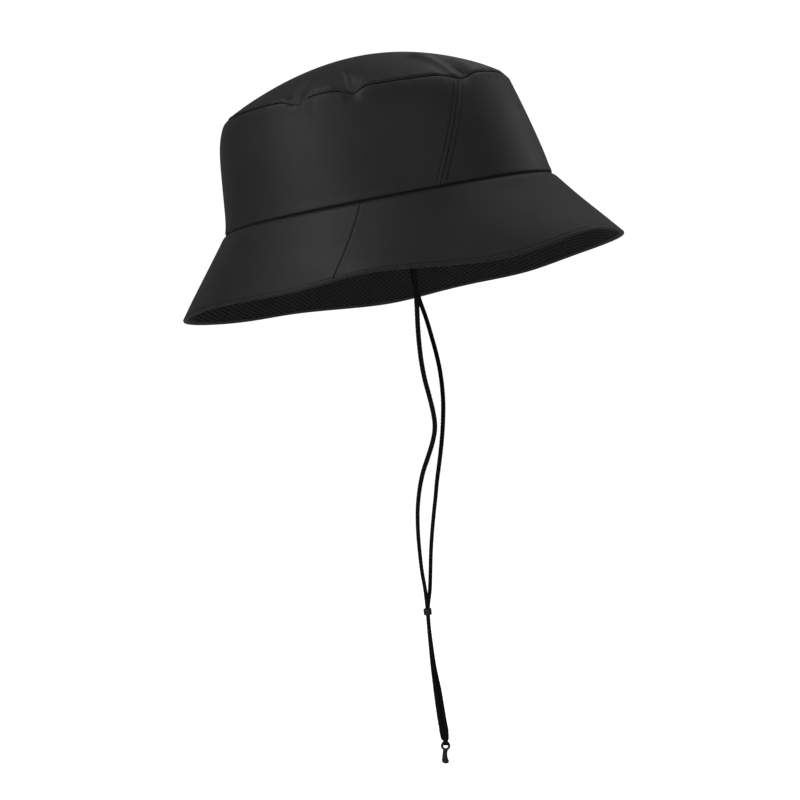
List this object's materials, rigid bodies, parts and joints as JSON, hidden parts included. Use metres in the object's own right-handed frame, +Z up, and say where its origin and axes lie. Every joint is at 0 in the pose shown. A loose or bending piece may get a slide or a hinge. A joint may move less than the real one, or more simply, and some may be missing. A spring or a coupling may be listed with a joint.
{
  "type": "bucket hat",
  "caption": "Soft bucket hat with a domed crown, a sloping stitched brim with a mesh underside, and a chin cord with a sliding stopper and an end pull.",
  "frame": {"origin": "centre of the head opening, at the seam between crown and brim; the head that wears the hat holds it there", "axes": "+Z up as worn, +X towards the back of the hat, +Y towards the wearer's right; the hat is tipped forward 11.4 degrees about Y and its chin cord hangs straight down -Z"},
  "size_m": [0.2718, 0.247, 0.4382],
  "materials": {
    "shell_fabric": "black coated polyester, smooth, semi-matt",
    "mesh_fabric": "black knitted polyester mesh",
    "interlining": "stiff non-woven cloth",
    "sweatband_fabric": "black brushed jersey",
    "tape": "black woven tape",
    "cord": "black braided cord",
    "plastic": "black moulded plastic, semi-matt"
  },
  "bodies": {
    "hat": {"crown_tip": "shell_fabric", "crown_side_front": "shell_fabric", "crown_side_back": "shell_fabric", "brim_top_front": "shell_fabric", "brim_top_back": "shell_fabric", "brim_interlining": "interlining", "brim_underside": "mesh_fabric", "lining_side": "mesh_fabric", "lining_tip": "mesh_fabric", "sweatband": "sweatband_fabric", "cord_tab_left": "tape", "cord_tab_right": "tape", "chin_cord_left": "cord", "chin_cord_right": "cord", "cord_end": "cord"},
    "bead": {"cord_bead": "plastic"},
    "pull": {"cord_pull": "plastic"}
  },
  "joints": [
    {"name": "bead_slide", "type": "slide", "parent": "hat", "child": "bead", "axis": [0.1044, 0, -0.9945], "range_m": [0, 0.03]},
    {"name": "pull_swing", "type": "hinge", "parent": "hat", "child": "pull", "pos_m": [0.0356, 0, -0.337], "axis": [0, 1, 0], "range_deg": [-75, 75]}
  ]
}
